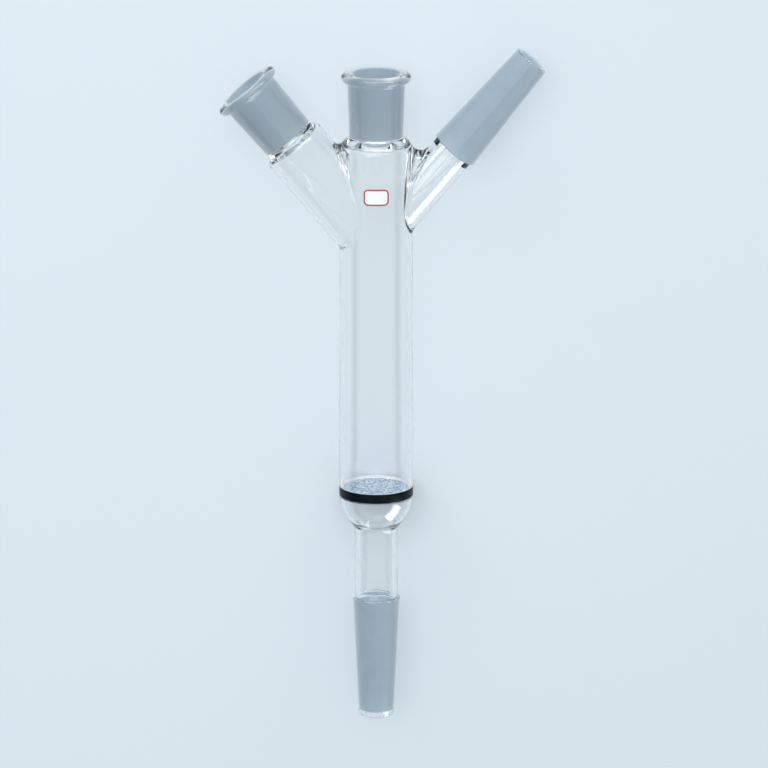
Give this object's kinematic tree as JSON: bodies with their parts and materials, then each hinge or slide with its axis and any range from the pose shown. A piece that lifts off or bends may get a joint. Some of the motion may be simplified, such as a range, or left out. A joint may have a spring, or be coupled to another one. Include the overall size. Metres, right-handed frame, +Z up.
{
  "type": "vacuum filtration tube",
  "caption": "Clear glass filter tube with a sintered disc above a bulb and neck, a ground cone below, and ground sockets and a side cone at the top.",
  "frame": {"origin": "middle of the footprint, on the surface that the tube lies on", "axes": "+Y along the tube from the lower cone to the sockets, +X towards the side with the slim arm and its cone, +Z up, towards the side that faces the user"},
  "size_m": [0.0974, 0.2088, 0.0225],
  "materials": {
    "clear_glass": "clear, fire-polished; joints ground to a fine grey matt",
    "sintered_glass": "porous, granular, white to blue-grey",
    "dark_seal": "very dark green, glossy",
    "enamel_spot": "matt white enamel with a thin red border"
  },
  "bodies": {
    "root": {"glass_body": "clear_glass", "fritted_disc": "sintered_glass", "frit_band": "dark_seal", "write_on_spot": "enamel_spot"}
  },
  "joints": []
}
